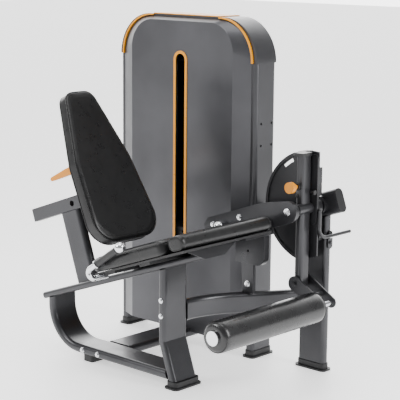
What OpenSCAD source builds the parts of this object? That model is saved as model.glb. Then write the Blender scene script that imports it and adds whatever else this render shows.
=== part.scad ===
// Selectorised leg extension machine. X points forwards, Y towards the weight tower, Z up.

/* [Frame tube] */
// Long side of the flat-oval frame tube
tube_w = 140; // [120:2:150]
// Short side of the frame tube
tube_t = 40; // [36:1:44]
// Corner radius of the frame tube
tube_r = 17; // [10:1:17]
// Wall of the frame tube
wall = 3; // [2:0.5:4]

/* [Weight tower] */
// Overall height
tower_h = 1500; // [1460:5:1540]
// Overall width of the tower frame
tower_w = 830; // [810:5:850]
// Depth of the tower frame
tower_d = 130; // [120:5:140]
// Outer radius of the tower's top corners
tower_r = 190; // [170:5:200]
// How far each shroud stands proud of the frame
shroud_rise = 35; // [25:1:40]
// Number of plates that stay down
resting_count = 7; // [5:1:7]
// Number of plates that are selected
lifted_count = 5; // [3:1:5]

/* [Seat] */
// Rise of the seat rail above horizontal, degrees
tilt = 19.5; // [17:0.5:21]
// Extra lean of the backrest, degrees
back_lean = 10; // [8:0.5:12]
// Width of the seat cushion
seat_w = 536; // [500:2:540]
// Thickness of the seat cushion
seat_h = 63; // [50:1:66]

/* [Leg lever] */
// Distance from the knee pivot to the roller axis, along X
roller_dx = 118; // [110:1:130]
// Distance from the knee pivot down to the roller axis
roller_dz = 388; // [370:1:400]
// Outer diameter of the ankle roller
roller_d = 128; // [110:1:130]
// Length of the ankle roller
roller_len = 630; // [560:5:635]
// Radius of the cam's outer rim
cam_r = 240; // [232:1:244]
// Radius at which the cable runs round the cam
cable_r = 140; // [130:1:145]

/* [Hidden] */
$fn = 64;

// Colours
metal = [0.36, 0.36, 0.38];
dark = [0.10, 0.10, 0.11];
orange = [0.97, 0.62, 0.10];
chrome = [0.85, 0.86, 0.88];
vinyl = [0.12, 0.12, 0.13];

// Tower
tower_x = -215;
tower_y0 = 290;
tower_y1 = tower_y0 + tower_d;
trim_t = 4;
frame_top = tower_h - trim_t;
leg_t = 45;
leg_l = tower_x - tower_w / 2;
leg_r = tower_x + tower_w / 2;
foot_z = 6;
arch_z = frame_top - tower_r;
shroud_w = tower_w - 54;
shroud_z0 = 60;
shroud_t = 3;
shroud_bevel = 80;
shroud_top_bevel = 16;
shroud_r = 178;
shroud_top = frame_top - 8;
slot_w = 55;
slot_z0 = 232;
slot_z1 = 1300;
slot_frame = 13;

// Weight stack
stack_y = 325;
stack_w = 300;
stack_d = 104;
plate_t = 24.4;
plate_pitch = 25;
stack_z = 196;
head_t = 40;
lifted_z = stack_z + resting_count * plate_pitch;
head_z = lifted_z + lifted_count * plate_pitch;
rod_dx = 100;
rod_r = 12.5;
rod_top = 1300;
stem_r = 13;
pin_r = 5;
pin_z = lifted_z + plate_t / 2;
base_z = 120;
base_h = 50;

// Cable and pulleys
wire_r = 3;
wheel_cable_r = 42;
wheel_r = 48;
wheel_w = 18;
axle_r = 6;
fit = 0.05;
entry_x = 72;
drop_x = entry_x - wheel_cable_r;
corner_x = drop_x - wheel_cable_r;
stack_wheel_x = tower_x + wheel_cable_r;
top_wheel_z = 1370;

// Seat side
seat_y = -194;
rail_x = 174;
rail_z = 528;
rail_t = 30;
rail_back = -784;
rail_front = 231;
post_x = rail_x;
post_bend_z = 190;
j_x = -535;
j_bend_r = 190;
run_z = 32;
board_n = 12;
board_t = 8;
cushion_n = 21;
cushion_back = -205;
cushion_front = 232;
bolster_back = 256;
bolster_front = 343;
handle_y = 294;
handle_u = -194;
handle_n = 0.5;
handle_rise = 14.2;
handle_len = 209;
out_bend = 23;
fore_bend = 20;
grip_r = 14;
tube_bar_r = 11;

// Backrest
back_u = -203;
back_n = 150;
release_out = 48;
release_h = 373;
pad_t = 58;
bar_n = 317;
bar_h = 60;
bar_w = 40;
bar_back = -786.2;
bar_front = -345;
bpost_u = -602;
bpost_l = 120;
slide_gap = 0.5;
back_travel = 120;

// Knee pivot
pivot_u = 384.4;
pivot_n = 76;
pivot_x = rail_x + pivot_u * cos(tilt) - pivot_n * sin(tilt);
pivot_z = rail_z + pivot_u * sin(tilt) + pivot_n * cos(tilt);
shaft_r = 15;
run_cable_z = pivot_z - cable_r - 2 * wire_r - 0.4;
entry_z = run_cable_z + wheel_cable_r;

// Pivot side frame
column_x0 = 400;
column_y = 380;
beam_t = 50;
beam_h = 104;
beam_y = column_y;
beam_front = 470;
guard_x = 246;
guard_z = 482;
plate_y0 = 130;
plate_y1 = 140;

// Lever
arm_x = 500;
arm_t = 40;
arm_y0 = 218;
arm_y1 = 278;
arm_top = 950;
arm_bottom = 392;
hub_y0 = 190;
hub_r = 23;
web_y0 = 285;
web_y1 = 293;
rim_y0 = 279.5;
rim_y1 = 306;
lever_y0 = 279;
pin_dz = 97;
start_pin_r = 6;
start_hole_r = norm([pivot_x - arm_x, pin_dz]);
start_hole_a = atan2(pin_dz, arm_x - pivot_x);
start_range = 45;
lever_front = 548.5;
rod_bar_r = 7.5;
rod_x = lever_front + rod_bar_r;
rod_z = 600;
rod_bend = 48;
rod_y = 289;
rod_end = 502.5;
roller_x = pivot_x + roller_dx;
roller_z = pivot_z - roller_dz;
ankle_x = 497;
ankle_z = 410;
near_y = 205;
far_y = 284;
bracket_t = 7;
shaft2_r = 12;
roller_y1 = 186;
roller_y0 = roller_y1 - roller_len;

// ---- Helpers ----

module rounded(w, h, r) {
    square([w - 2 * r, h], center = true);
    square([w, h - 2 * r], center = true);
    for (sx = [-1, 1], sy = [-1, 1])
        translate([sx * (w / 2 - r), sy * (h / 2 - r)])
            circle(r);
}

module tube_profile(w, h, r, t) {
    difference() {
        rounded(w, h, r);
        rounded(w - 2 * t, h - 2 * t, max(r - t, 1));
    }
}

// Extrusion along X: w lies along Y and h along Z
module tube_along_x(x0, x1, w, h, r = tube_r, t = wall) {
    translate([x0, 0, 0])
        rotate([90, 0, 90])
            linear_extrude(x1 - x0)
                tube_profile(w, h, r, t);
}

module tube_along_y(y0, y1, w, h, r = tube_r, t = wall) {
    translate([0, y1, 0])
        rotate([90, 0, 0])
            linear_extrude(y1 - y0)
                tube_profile(w, h, r, t);
}

module tube_along_z(z0, z1, w, d, r = tube_r, t = wall) {
    translate([0, 0, z0])
        linear_extrude(z1 - z0)
            tube_profile(w, d, r, t);
}

// Stands an outline drawn in X and Z between two values of Y
module slab(y0, y1) {
    translate([0, y1, 0])
        rotate([90, 0, 0])
            linear_extrude(y1 - y0)
                children();
}

module rod_along_y(x, z, y0, y1, r) {
    translate([x, y0, z])
        rotate([-90, 0, 0])
            cylinder(r = r, h = y1 - y0);
}

module rod_along_x(y, z, x0, x1, r) {
    translate([x0, y, z])
        rotate([0, 90, 0])
            cylinder(r = r, h = x1 - x0);
}

// Seat frame: X runs up the rail, Z stands square to it
module on_rail() {
    translate([rail_x, seat_y, rail_z])
        rotate([0, -tilt, 0])
            children();
}

// Backrest frame: X leaves the front of the pad, Z runs up it
module on_back() {
    on_rail()
        translate([back_u, 0, back_n])
            rotate([0, -back_lean, 0])
                children();
}

// Removes what lies above the underside of the rail
module below_rail() {
    difference() {
        children();
        on_rail()
            translate([-1000, -500, -rail_t])
                cube([2000, 1000, 1000]);
    }
}

module arch(w, h, r) {
    translate([-w / 2, 0])
        square([w, h - r]);
    translate([-w / 2 + r, 0])
        square([w - 2 * r, h]);
    for (s = [-1, 1])
        translate([s * (w / 2 - r), h - r])
            circle(r, $fn = 96);
}

module hex_bolt(x, y, z, r = 9, h = 7) {
    translate([x, y, z])
        rotate([90, 0, 0]) {
            cylinder(r = r + 3, h = 2);
            cylinder(r = r, h = h, $fn = 6);
            cylinder(r = r * 0.62, h = h + 2);
        }
}

// ---- Weight tower ----

module tower_legs() {
    color(metal)
        difference() {
            for (x = [leg_l + leg_t / 2, leg_r - leg_t / 2])
                translate([x, (tower_y0 + tower_y1) / 2, 0])
                    tube_along_z(foot_z, arch_z, leg_t, tower_d, tube_r, wall);
            rod_along_x(stack_y, run_cable_z, leg_r - leg_t - 1, leg_r + 1, 12);
            for (y = [tower_y0 + 35, tower_y1 - 25], z = [950, 1045])
                rod_along_x(y, z, leg_r - 5, leg_r + 1, 5.5);
        }
}

module tower_top_arch() {
    color(metal)
        translate([tower_x, 0, 0])
            difference() {
                slab(tower_y0, tower_y1)
                    arch(tower_w, frame_top, tower_r);
                slab(tower_y0 - 1, tower_y1 + 1)
                    arch(tower_w - 2 * leg_t, frame_top - leg_t, tower_r - leg_t);
                translate([-tower_w, tower_y0 - 1, -1])
                    cube([2 * tower_w, tower_d + 2, arch_z + 1]);
            }
}

module shroud_outline(w, top, r) {
    intersection() {
        arch(w, top, r);
        translate([-w, shroud_z0])
            square([2 * w, top]);
    }
}

// One bevelled tray, drawn with its back on y = 0 and its face towards -Y
module tray(w, top, r, rise) {
    hull() {
        slab(-1, 0)
            shroud_outline(w, top, r);
        slab(-rise, 1 - rise)
            shroud_outline(w - 2 * shroud_bevel, top - shroud_top_bevel, r - 50);
    }
}

module shroud_shell() {
    difference() {
        tray(shroud_w, shroud_top, shroud_r, shroud_rise);
        translate([0, shroud_t, -shroud_t])
            tray(shroud_w - 4 * shroud_t, shroud_top, shroud_r - 2 * shroud_t, shroud_rise);
    }
}

module slot_outline(grow) {
    r = slot_w / 2 + grow;
    translate([-r, slot_z0])
        square([2 * r, slot_z1 - slot_z0]);
    for (z = [slot_z0, slot_z1])
        translate([0, z])
            circle(r);
}

module front_shroud() {
    color(metal)
        translate([tower_x, tower_y0, 0])
            difference() {
                shroud_shell();
                slab(-shroud_rise - 5, 5)
                    slot_outline(0);
                translate([-tube_w / 2 - 2, -shroud_rise - 5, 0])
                    cube([tube_w + 4, shroud_rise + 10, run_z + tube_t + 2]);
            }
}

module rear_shroud() {
    color(metal)
        translate([tower_x, tower_y1, 0])
            mirror([0, 1, 0])
                shroud_shell();
}

module trim_band(w, r, t) {
    difference() {
        arch(w, frame_top, r);
        arch(w - 2 * t, frame_top - t, r - t);
        translate([-w, 0])
            square([2 * w, frame_top - tower_r]);
    }
}

module top_trim() {
    color(orange) {
        translate([tower_x - 200, tower_y0 - 2, frame_top])
            cube([400, tower_d + 4, trim_t]);
        translate([tower_x, 0, 0])
            difference() {
                slab(tower_y0 - 9, tower_y0 - 0.5)
                    trim_band(shroud_w + 16, shroud_r + 8, 7);
                translate([-200, tower_y0 - 20, frame_top - 40])
                    cube([400, 40, 60]);
            }
    }
}

module slot_trim() {
    color(orange)
        translate([tower_x, tower_y0 - shroud_rise, 0])
            difference() {
                slab(-3, 0)
                    slot_outline(slot_frame);
                slab(-5, 5)
                    slot_outline(0);
            }
}

module stack_crossbars() {
    inner_l = leg_l + leg_t;
    inner_r = leg_r - leg_t;
    color(metal) {
        difference() {
            translate([0, stack_y + 25, base_z + base_h / 2])
                tube_along_x(inner_l, inner_r, 100, base_h, 8, 4);
            for (s = [-1, 1])
                translate([tower_x + s * rod_dx, stack_y, base_z + 8])
                    cylinder(r = rod_r + fit, h = base_h);
        }
        difference() {
            translate([inner_l, stack_y - 30, rod_top - 10])
                cube([inner_r - inner_l, 60, 10]);
            for (s = [-1, 1])
                translate([tower_x + s * rod_dx, stack_y, rod_top - 30])
                    cylinder(r = rod_r + fit, h = 60);
            for (x = [tower_x, drop_x])
                translate([x, stack_y, rod_top - 30])
                    cylinder(r = 14, h = 60);
        }
    }
}

module rubber_bumpers() {
    color(dark) {
        for (s = [-1, 1])
            translate([tower_x + s * rod_dx, stack_y, base_z + base_h])
                difference() {
                    cylinder(r = 26, h = stack_z - base_z - base_h);
                    translate([0, 0, -1])
                        cylinder(r = rod_r + 0.5, h = 60);
                }
        rod_along_x(column_y, rod_z + 6, column_x0 + tube_w, lever_front - 0.3, 13);
    }
}

module stack_plate(z, h) {
    difference() {
        translate([tower_x - stack_w / 2, stack_y - stack_d / 2, z])
            cube([stack_w, stack_d, h]);
        for (s = [-1, 1])
            translate([tower_x + s * rod_dx, stack_y, z - 1])
                cylinder(r = rod_r + 1.5, h = h + 2);
        translate([tower_x, stack_y, z - 1])
            cylinder(r = stem_r + 1, h = h + 2);
        rod_along_y(tower_x, z + h / 2, stack_y - stack_d, stack_y + stack_d, pin_r + 0.5);
    }
}

module resting_plates() {
    color(dark)
        for (i = [0 : resting_count - 1])
            stack_plate(stack_z + i * plate_pitch, plate_t);
}

module lifted_plates() {
    color(dark) {
        for (i = [0 : lifted_count - 1])
            stack_plate(lifted_z + i * plate_pitch, plate_t);
        stack_plate(head_z, head_t);
    }
}

module selector_stem() {
    color(chrome)
        difference() {
            union() {
                translate([tower_x, stack_y, stack_z + 6])
                    cylinder(r = stem_r, h = head_z + head_t + 12 - stack_z - 6);
                translate([tower_x, stack_y, head_z + head_t])
                    cylinder(r = 22, h = 12);
            }
            for (i = [0 : resting_count + lifted_count - 1])
                rod_along_y(tower_x, stack_z + i * plate_pitch + plate_t / 2,
                    stack_y - 40, stack_y + 40, pin_r + 0.5);
            translate([tower_x, stack_y, head_z + head_t])
                cylinder(r = wire_r + 0.3, h = 20);
        }
}

module selector_pin() {
    color(orange) {
        rod_along_y(tower_x, pin_z, stack_y - stack_d / 2 - 3, stack_y + stack_d / 2 - 4, pin_r);
        rod_along_y(tower_x, pin_z, stack_y - stack_d / 2 - 30, stack_y - stack_d / 2 - 3, 12);
    }
}

module guide_rods() {
    color(chrome)
        for (s = [-1, 1])
            translate([tower_x + s * rod_dx, stack_y, base_z + 8])
                cylinder(r = rod_r, h = rod_top + 6 - base_z - 8);
}

module mount_pair(x, z, w, h, z0) {
    for (s = [-1, 1])
        translate([x - w / 2, stack_y + s * 14 - 2, z0])
            cube([w, 4, h]);
}

module pulley_mounts() {
    inner_top = frame_top - leg_t;
    color(metal) {
        for (x = [corner_x, stack_wheel_x]) {
            difference() {
                mount_pair(x, top_wheel_z, 40, inner_top - top_wheel_z + 20, top_wheel_z - 20);
                rod_along_y(x, top_wheel_z, stack_y - 20, stack_y + 20, axle_r + fit);
            }
        }
        difference() {
            for (s = [-1, 1])
                translate([entry_x - 20, stack_y + s * 14 - 2, entry_z - 20])
                    cube([leg_r - leg_t - entry_x + 20, 4, 40]);
            rod_along_y(entry_x, entry_z, stack_y - 20, stack_y + 20, axle_r + fit);
        }
    }
    color(chrome) {
        for (p = [[corner_x, top_wheel_z], [stack_wheel_x, top_wheel_z], [entry_x, entry_z]]) {
            rod_along_y(p[0], p[1], stack_y - 20, stack_y + 20, axle_r);
            rod_along_y(p[0], p[1], stack_y - 24, stack_y - 16.5, 10);
            rod_along_y(p[0], p[1], stack_y + 16.5, stack_y + 24, 10);
        }
    }
}

module wheel(x, z) {
    groove = wheel_cable_r - wire_r - 0.3;
    color(dark)
        translate([x, stack_y, z])
            rotate([90, 0, 0])
                difference() {
                    cylinder(r = wheel_r, h = wheel_w, center = true);
                    rotate_extrude()
                        translate([wheel_cable_r, 0])
                            circle(wire_r + 0.3);
                    rotate_extrude()
                        translate([wheel_cable_r, -wire_r - 0.3])
                            square([wheel_r, 2 * wire_r + 0.6]);
                    cylinder(r = axle_r + fit, h = wheel_w + 2, center = true);
                    for (a = [0 : 60 : 300])
                        rotate([0, 0, a])
                            translate([groove / 2 + 4, 0, 0])
                                cylinder(r = 7, h = wheel_w + 2, center = true);
                }
}

module stack_pulley() wheel(stack_wheel_x, top_wheel_z);

module corner_pulley() wheel(corner_x, top_wheel_z);

module entry_pulley() wheel(entry_x, entry_z);

// Quarter turn of cable about a wheel, from angle a to a + 90 in the XZ plane
module cable_turn(x, z, a) {
    translate([x, stack_y, z])
        rotate([90, 0, 0])
            rotate([0, 0, a])
                rotate_extrude(angle = 90)
                    translate([wheel_cable_r, 0])
                        circle(wire_r);
}

module drive_cable() {
    color(dark) {
        rod_along_x(stack_y, run_cable_z, entry_x, pivot_x + 8, wire_r);
        cable_turn(entry_x, entry_z, 180);
        translate([drop_x, stack_y, entry_z])
            cylinder(r = wire_r, h = top_wheel_z - entry_z);
        cable_turn(corner_x, top_wheel_z, 0);
        rod_along_x(stack_y, top_wheel_z + wheel_cable_r, stack_wheel_x, corner_x, wire_r);
        cable_turn(stack_wheel_x, top_wheel_z, 90);
    }
}

module stack_cable() {
    color(dark)
        translate([tower_x, stack_y, head_z + head_t + 2])
            cylinder(r = wire_r, h = top_wheel_z - head_z - head_t - 2);
}

// ---- Seat frame ----

module seat_rail() {
    color(metal)
        on_rail()
            translate([0, 0, -rail_t / 2])
                tube_along_x(rail_back, rail_front, tube_w, rail_t, 13, wall);
}

module j_tube() {
    mid = j_x + tube_t / 2;
    color(metal)
        difference() {
            below_rail()
                union() {
                    translate([mid, seat_y, 0])
                        tube_along_z(run_z + j_bend_r, 320, tube_t, tube_w);
                    translate([j_x + j_bend_r, seat_y, run_z + j_bend_r])
                        rotate([90, 0, 0])
                            rotate([0, 0, 180])
                                rotate_extrude(angle = 90, $fn = 96)
                                    translate([j_bend_r - tube_t / 2, 0])
                                        tube_profile(tube_t, tube_w, tube_r, wall);
                    translate([0, seat_y, run_z + tube_t / 2])
                        tube_along_x(j_x + j_bend_r, 230, tube_w, tube_t);
                }
            translate([post_x, seat_y, post_bend_z])
                rotate([0, -tilt, 0])
                    translate([-tube_t / 2, -tube_w, -400])
                        cube([400, 2 * tube_w, 500]);
        }
}

module post_leg(z0, z1) {
    translate([post_x, seat_y, post_bend_z])
        rotate([0, -tilt, 0])
            tube_along_z(z0, z1, tube_t, tube_w);
}

module seat_post() {
    color(metal) {
        below_rail()
            difference() {
                translate([post_x, seat_y, 0])
                    tube_along_z(post_bend_z - 40, rail_z, tube_t, tube_w);
                translate([post_x, seat_y, post_bend_z])
                    rotate([0, -tilt / 2, 0])
                        translate([-100, -100, -200])
                            cube([200, 200, 200]);
            }
        difference() {
            post_leg(-260, 40);
            translate([post_x, seat_y, post_bend_z])
                rotate([0, -tilt / 2, 0])
                    translate([-100, -100, 0])
                        cube([200, 200, 200]);
            translate([post_x - 200, seat_y - 200, foot_z - 300])
                cube([500, 400, 300]);
        }
    }
}

module cross_tube() {
    color(metal)
        translate([tower_x, 0, run_z + tube_t / 2])
            tube_along_y(seat_y + tube_w / 2, tower_y0 + 60, tube_w, tube_t);
}

module curved_base_tube() {
    h = 90;
    z = 300;
    turn = 33.4;
    bend = 400;
    color(metal)
        translate([post_x + bend, seat_y + tube_w / 2, z]) {
            rotate([0, 0, 180 - turn])
                rotate_extrude(angle = turn, $fn = 128)
                    translate([bend, 0])
                        tube_profile(tube_t, h, tube_r, wall);
            difference() {
                rotate([0, 0, -turn])
                    translate([-bend, 0, 0])
                        tube_along_y(0, 420, tube_t, h);
                translate([-bend, column_y - tube_t / 2 - seat_y - tube_w / 2, -h])
                    cube([600, 400, 2 * h]);
            }
        }
}

module column() {
    color(metal)
        difference() {
            translate([column_x0 + tube_w / 2, column_y, 0])
                tube_along_z(foot_z, 720, tube_w, tube_t);
            on_rail()
                translate([0, 0, pivot_n - beam_h / 2])
                    cube([900, 900, 400]);
        }
}

module pivot_beam() {
    color(metal)
        difference() {
            on_rail()
                translate([0, beam_y - seat_y, pivot_n])
                    tube_along_x(20, beam_front, beam_t, beam_h, 24, 4);
            translate([leg_r - 200, 0, 0])
                cube([200, 800, 1500]);
            rod_along_y(pivot_x, pivot_z, beam_y - beam_t, beam_y, shaft_r + fit);
        }
}

module plug(w, h, r, t) {
    rotate([90, 0, 90])
        linear_extrude(t)
            rounded(w, h, r);
}

module tube_plugs() {
    color(dark)
        on_rail() {
            translate([rail_back - 4, 0, -rail_t / 2])
                plug(tube_w, rail_t, 13, 4);
            translate([beam_front, beam_y - seat_y, pivot_n])
                plug(beam_t, beam_h, 24, 5);
        }
}

module side_plate_outline() {
    difference() {
        union() {
            translate([pivot_u, pivot_n])
                circle(46);
            polygon([[-90, 34], [-60, 24], [pivot_u - 4, pivot_n - 45.8], [pivot_u + 10, pivot_n + 44.9],
                [300, 137], [230, 143], [-60, 143], [-90, 120]]);
        }
        translate([pivot_u, pivot_n])
            circle(shaft_r + fit);
    }
}

module side_plate() {
    color(metal)
        on_rail()
            translate([0, -seat_y, 0])
                slab(plate_y0, plate_y1)
                    side_plate_outline();
}

module ring(y0, y1, outer, inner) {
    difference() {
        rod_along_y(pivot_x, pivot_z, y0, y1, outer);
        rod_along_y(pivot_x, pivot_z, y0 - 1, y1 + 1, inner);
    }
}

module pivot_bearings() {
    color(dark) {
        ring(plate_y1, plate_y1 + 18, 42, shaft_r + fit);
        ring(beam_y - beam_t / 2 - 17, beam_y - beam_t / 2, 34, shaft_r + fit);
    }
}

module pivot_shaft() {
    color(chrome) {
        rod_along_y(pivot_x, pivot_z, plate_y0 - 2, beam_y - 5, shaft_r);
        rod_along_y(pivot_x, pivot_z, plate_y0 - 3, plate_y0, 16);
        hex_bolt(pivot_x, plate_y0 - 3, pivot_z, 10, 6);
    }
}

module guard_outline() {
    square([120, 170]);
    translate([120, 40])
        square([40, 130]);
    translate([120, 40])
        circle(40);
}

// Cover below the side plate
module guard_cover() {
    color(metal)
        difference() {
            translate([guard_x, 0, guard_z])
                difference() {
                    slab(plate_y0 - 16, plate_y1 + 4)
                        guard_outline();
                    slab(plate_y0 - 12, plate_y1 + 5)
                        translate([4, 4])
                            square([112, 170]);
                    slab(plate_y0 - 12, plate_y1 + 5)
                        translate([110, 40])
                            square([46, 130]);
                    rod_along_y(70, 56, plate_y0 - 20, plate_y0, 6);
                }
            on_rail()
                translate([-400, 0, 23.5])
                    cube([1200, 600, 400]);
        }
}

// Strut down to the curved tube, with the two brackets that carry the side plate
module seat_strut() {
    edge = plate_y0 - seat_y;
    color(metal) {
        slab(plate_y1 + 4.5, plate_y1 + 16.5)
            difference() {
                polygon([[246, 628], [262, 345], [320, 345], [322, 655]]);
                translate([290, 384])
                    circle(7);
            }
        translate([262, plate_y1, 590])
            cube([50, 4.5, 34]);
        on_rail()
            for (u = [-72, 258]) {
                translate([u, 140, 4])
                    cube([34, edge - 140, 8]);
                translate([u, edge - 8, 4])
                    cube([34, 8, 58]);
            }
    }
}

module front_gusset() {
    color(metal)
        on_rail()
            translate([rail_front, 0, 0])
                rotate([90, 0, 90])
                    linear_extrude(5)
                        polygon([[-58, -rail_t], [58, -rail_t], [140, board_n - 2], [140, board_n],
                            [-140, board_n], [-140, board_n - 2]]);
}

module seat_board() {
    color(dark)
        on_rail() {
            translate([cushion_back + 8, -seat_w / 2 + 8, board_n])
                cube([bolster_front - cushion_back - 16, seat_w - 16, board_t]);
            for (u = [-150, 60])
                translate([u, -seat_w / 2 + 20, 0])
                    cube([60, seat_w - 40, board_n]);
        }
}

module seat_cushion() {
    color(vinyl)
        on_rail()
            translate([(cushion_back + cushion_front) / 2, 0, cushion_n])
                linear_extrude(seat_h)
                    rounded(cushion_front - cushion_back, seat_w, 26);
}

module seat_bolster() {
    l = bolster_front - bolster_back;
    color(vinyl)
        on_rail()
            translate([bolster_back + l / 2, 0, cushion_n + seat_h / 2])
                slab(-seat_w / 2, seat_w / 2)
                    rounded(l, seat_h, 27);
}

// Side handle: foot under the board, out past the cushion, up and then forwards
module handle_rod(s) {
    mirror([0, s < 0 ? 1 : 0, 0]) {
        translate([handle_u, handle_y - out_bend, handle_n]) {
            rotate([90, 0, 0])
                cylinder(r = tube_bar_r, h = 70);
            translate([-22, -70, 7])
                cube([44, 60, 4.5]);
            translate([0, 0, out_bend])
                rotate([90, 0, 90])
                    rotate([0, 0, -90])
                        rotate_extrude(angle = 90)
                            translate([out_bend, 0])
                                circle(tube_bar_r);
        }
        translate([handle_u + fore_bend, handle_y, handle_n + out_bend])
            rotate([90, 0, 0])
                rotate([0, 0, 90 + handle_rise])
                    rotate_extrude(angle = 90 - handle_rise)
                        translate([fore_bend, 0])
                            circle(tube_bar_r);
    }
    handle_axis(s)
        cylinder(r = tube_bar_r, h = handle_len - 20);
}

// Z runs up the grip, from the end of its bend to the ball
module handle_axis(s) {
    translate([handle_u + fore_bend, s * handle_y, handle_n + out_bend])
        rotate([0, -handle_rise, 0])
            translate([0, 0, fore_bend])
                rotate([0, 90, 0])
                    children();
}

module grab_handles() {
    color(chrome)
        on_rail()
            for (s = [-1, 1])
                handle_rod(s);
}

module handle_grips() {
    color(dark)
        on_rail()
            for (s = [-1, 1])
                handle_axis(s)
                    translate([0, 0, 52])
                        difference() {
                            cylinder(r = grip_r, h = 134);
                            translate([0, 0, -1])
                                cylinder(r = tube_bar_r, h = 140);
                        }
}

module handle_caps() {
    color(chrome)
        on_rail()
            for (s = [-1, 1])
                handle_axis(s) {
                    difference() {
                        translate([0, 0, 44])
                            cylinder(r = 18, h = 8);
                        translate([0, 0, 40])
                            cylinder(r = tube_bar_r, h = 20);
                    }
                    difference() {
                        translate([0, 0, handle_len])
                            sphere(22);
                        translate([0, 0, handle_len - 50])
                            cylinder(r = 40, h = 28);
                        cylinder(r = tube_bar_r, h = handle_len - 20);
                    }
                }
}

// ---- Backrest ----

module backrest_post() {
    neck = 12;
    color(metal)
        on_rail()
            difference() {
                union() {
                    translate([bpost_u + bpost_l / 2, 0, 0])
                        tube_along_z(0, bar_n - slide_gap, bpost_l, bar_w);
                    translate([bpost_u + 8, -neck / 2, bar_n - 6])
                        cube([bpost_l - 16, neck, 16]);
                    translate([bpost_u, -bar_w / 2 + 4 + slide_gap, bar_n + 4 + slide_gap])
                        cube([bpost_l, bar_w - 8 - 2 * slide_gap, bar_h - 8 - 2 * slide_gap]);
                }
                translate([-510, -50, bar_n + bar_h / 2])
                    rotate([-90, 0, 0])
                        cylinder(r = 13, h = 100);
            }
}

module backrest_bar() {
    color(metal)
        on_rail()
            difference() {
                translate([0, 0, bar_n + bar_h / 2])
                    tube_along_x(bar_back, bar_front, bar_w, bar_h, 5, 4);
                translate([bpost_u, -8, bar_n - 5])
                    cube([bpost_l + back_travel, 16, 12]);
                translate([-510, -50, bar_n + bar_h / 2])
                    rotate([-90, 0, 0])
                        cylinder(r = 13, h = 100);
            }
}

module backrest_carriage() {
    color(metal) {
        on_rail()
            difference() {
                translate([bar_front, -30, bar_n - 10])
                    cube([110, 60, bar_h + 20]);
                on_backrest_front();
            }
        on_back() {
            translate([-pad_t - 18, -45, 40])
                cube([6, 90, 440]);
            for (s = [-1, 1])
                translate([-pad_t - 18 - 62, s * 16 - 3, release_h - 22])
                    cube([62, 6, 44]);
            rod_along_y(-pad_t - 18 - release_out, release_h, -19, 19, 5);
        }
    }
}

// Space in front of the backing plate
module on_backrest_front() {
    translate([back_u, 0, back_n])
        rotate([0, -back_lean, 0])
            translate([-pad_t - 12 - 6, -300, -400])
                cube([500, 600, 1600]);
}

module pad_outline(shrink) {
    hull() {
        for (s = [-1, 1]) {
            translate([s * 38, 616])
                circle(50 - shrink, $fn = 48);
            translate([s * 60, 330])
                circle(100 - shrink, $fn = 48);
            translate([s * 82, 80])
                circle(100 - shrink, $fn = 48);
        }
    }
}

module pad_slab(x0, x1, shrink) {
    on_back()
        translate([x0, 0, 0])
            rotate([90, 0, 90])
                linear_extrude(x1 - x0)
                    pad_outline(shrink);
}

module backrest_board() {
    color(dark)
        pad_slab(-pad_t - 12, -pad_t - 0.4, 14);
}

module backrest_pad() {
    color(vinyl)
        pad_slab(-pad_t, 0, 0);
}

module release_lever() {
    color(orange)
        on_back()
            translate([-pad_t - 18 - release_out, 0, release_h])
                rotate([0, 7, 0])
                    difference() {
                        union() {
                            rod_along_y(0, 0, -12, 12, 15);
                            slab(-12, 12)
                                polygon([[0, -14.5], [-110, -20], [-228, -15], [-235, -6], [-226, 2],
                                    [-120, 12], [0, 14.5]]);
                        }
                        rod_along_y(0, 0, -20, 20, 5 + fit);
                    }
}

// ---- Knee pivot side ----

module cam_outline() {
    intersection() {
        circle(cam_r, $fn = 128);
        translate([-300, -300])
            square([300 + lever_front - pivot_x, 600]);
        rotate(tilt)
            translate([-300, -205])
                square([600, 600]);
    }
}

module at_pivot(y0, y1) {
    translate([pivot_x, 0, pivot_z])
        slab(y0, y1)
            children();
}

module cam_disc() {
    color(dark)
        difference() {
            union() {
                at_pivot(web_y0, web_y1)
                    cam_outline();
                at_pivot(rim_y0, rim_y1)
                    intersection() {
                        difference() {
                            cam_outline();
                            circle(cam_r - 12, $fn = 128);
                        }
                        translate([-300, -300])
                            square([300 - 11, 600]);
                    }
                rod_along_y(pivot_x, pivot_z, web_y1, stack_y - 8, 40);
                intersection() {
                    rod_along_y(pivot_x, pivot_z, stack_y - 8, stack_y + 8, cable_r + 5);
                    translate([pivot_x - 300, 0, pivot_z - 300])
                        cube([300 + 24, 800, 345]);
                }
            }
            rod_along_y(pivot_x, pivot_z, 200, 400, shaft_r + fit);
            translate([pivot_x, stack_y, pivot_z])
                rotate([90, 0, 0])
                    rotate_extrude($fn = 128)
                        translate([cable_r - wire_r - 0.4, -wire_r - 0.4])
                            square([20, 2 * wire_r + 0.8]);
            for (a = [0 : 15 : 45])
                translate([pivot_x, 0, pivot_z])
                    rotate([0, -a, 0])
                        rod_along_y(arm_x - pivot_x, pin_dz, 270, 300, start_pin_r + 0.7);
            translate([pivot_x, web_y0 + 4.5, pivot_z])
                rotate([90, 0, 0])
                    rotate([0, 0, start_hole_a])
                        rotate_extrude(angle = start_range, $fn = 128)
                            translate([start_hole_r - start_pin_r - fit, 0])
                                square([2 * (start_pin_r + fit), 20]);
            at_pivot(web_y0 - 1, web_y1 + 1)
                difference() {
                    intersection() {
                        circle(221, $fn = 128);
                        rotate(117)
                            square(300);
                        rotate(43)
                            square(300);
                    }
                    circle(207, $fn = 128);
                }
        }
}

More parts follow.
